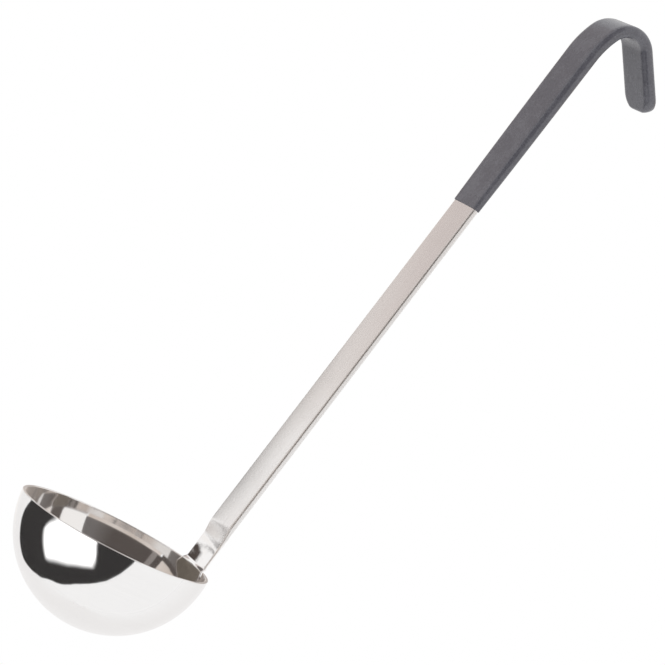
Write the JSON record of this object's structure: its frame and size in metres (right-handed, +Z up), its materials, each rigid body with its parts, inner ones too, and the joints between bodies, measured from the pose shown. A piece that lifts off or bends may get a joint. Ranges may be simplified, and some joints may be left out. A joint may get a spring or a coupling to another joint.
{
  "type": "ladle",
  "caption": "Steel serving ladle: a deep round bowl lapped onto a flat bar handle that leans outwards and ends in a hook dipped in grey vinyl, for serving and hanging.",
  "frame": {"origin": "the seat inside the hook, the highest point of the coat that rests on a rail or a pot's edge", "axes": "+Z up along the bowl's axis; +X from the bowl's middle towards the handle; the handle is symmetric about Y = 0"},
  "size_m": [0.1654, 0.0792, 0.3038],
  "materials": {
    "bowl_steel": "mirror polished",
    "handle_steel": "satin, brushed along the bar",
    "grip_vinyl": "smooth dipped vinyl with a soft sheen",
    "weld_steel": "fused"
  },
  "bodies": {
    "root": {"bowl": "bowl_steel", "handle": "handle_steel", "grip": "grip_vinyl", "spot_weld_left": "weld_steel", "spot_weld_right": "weld_steel", "spot_weld_lower": "weld_steel"}
  },
  "joints": []
}
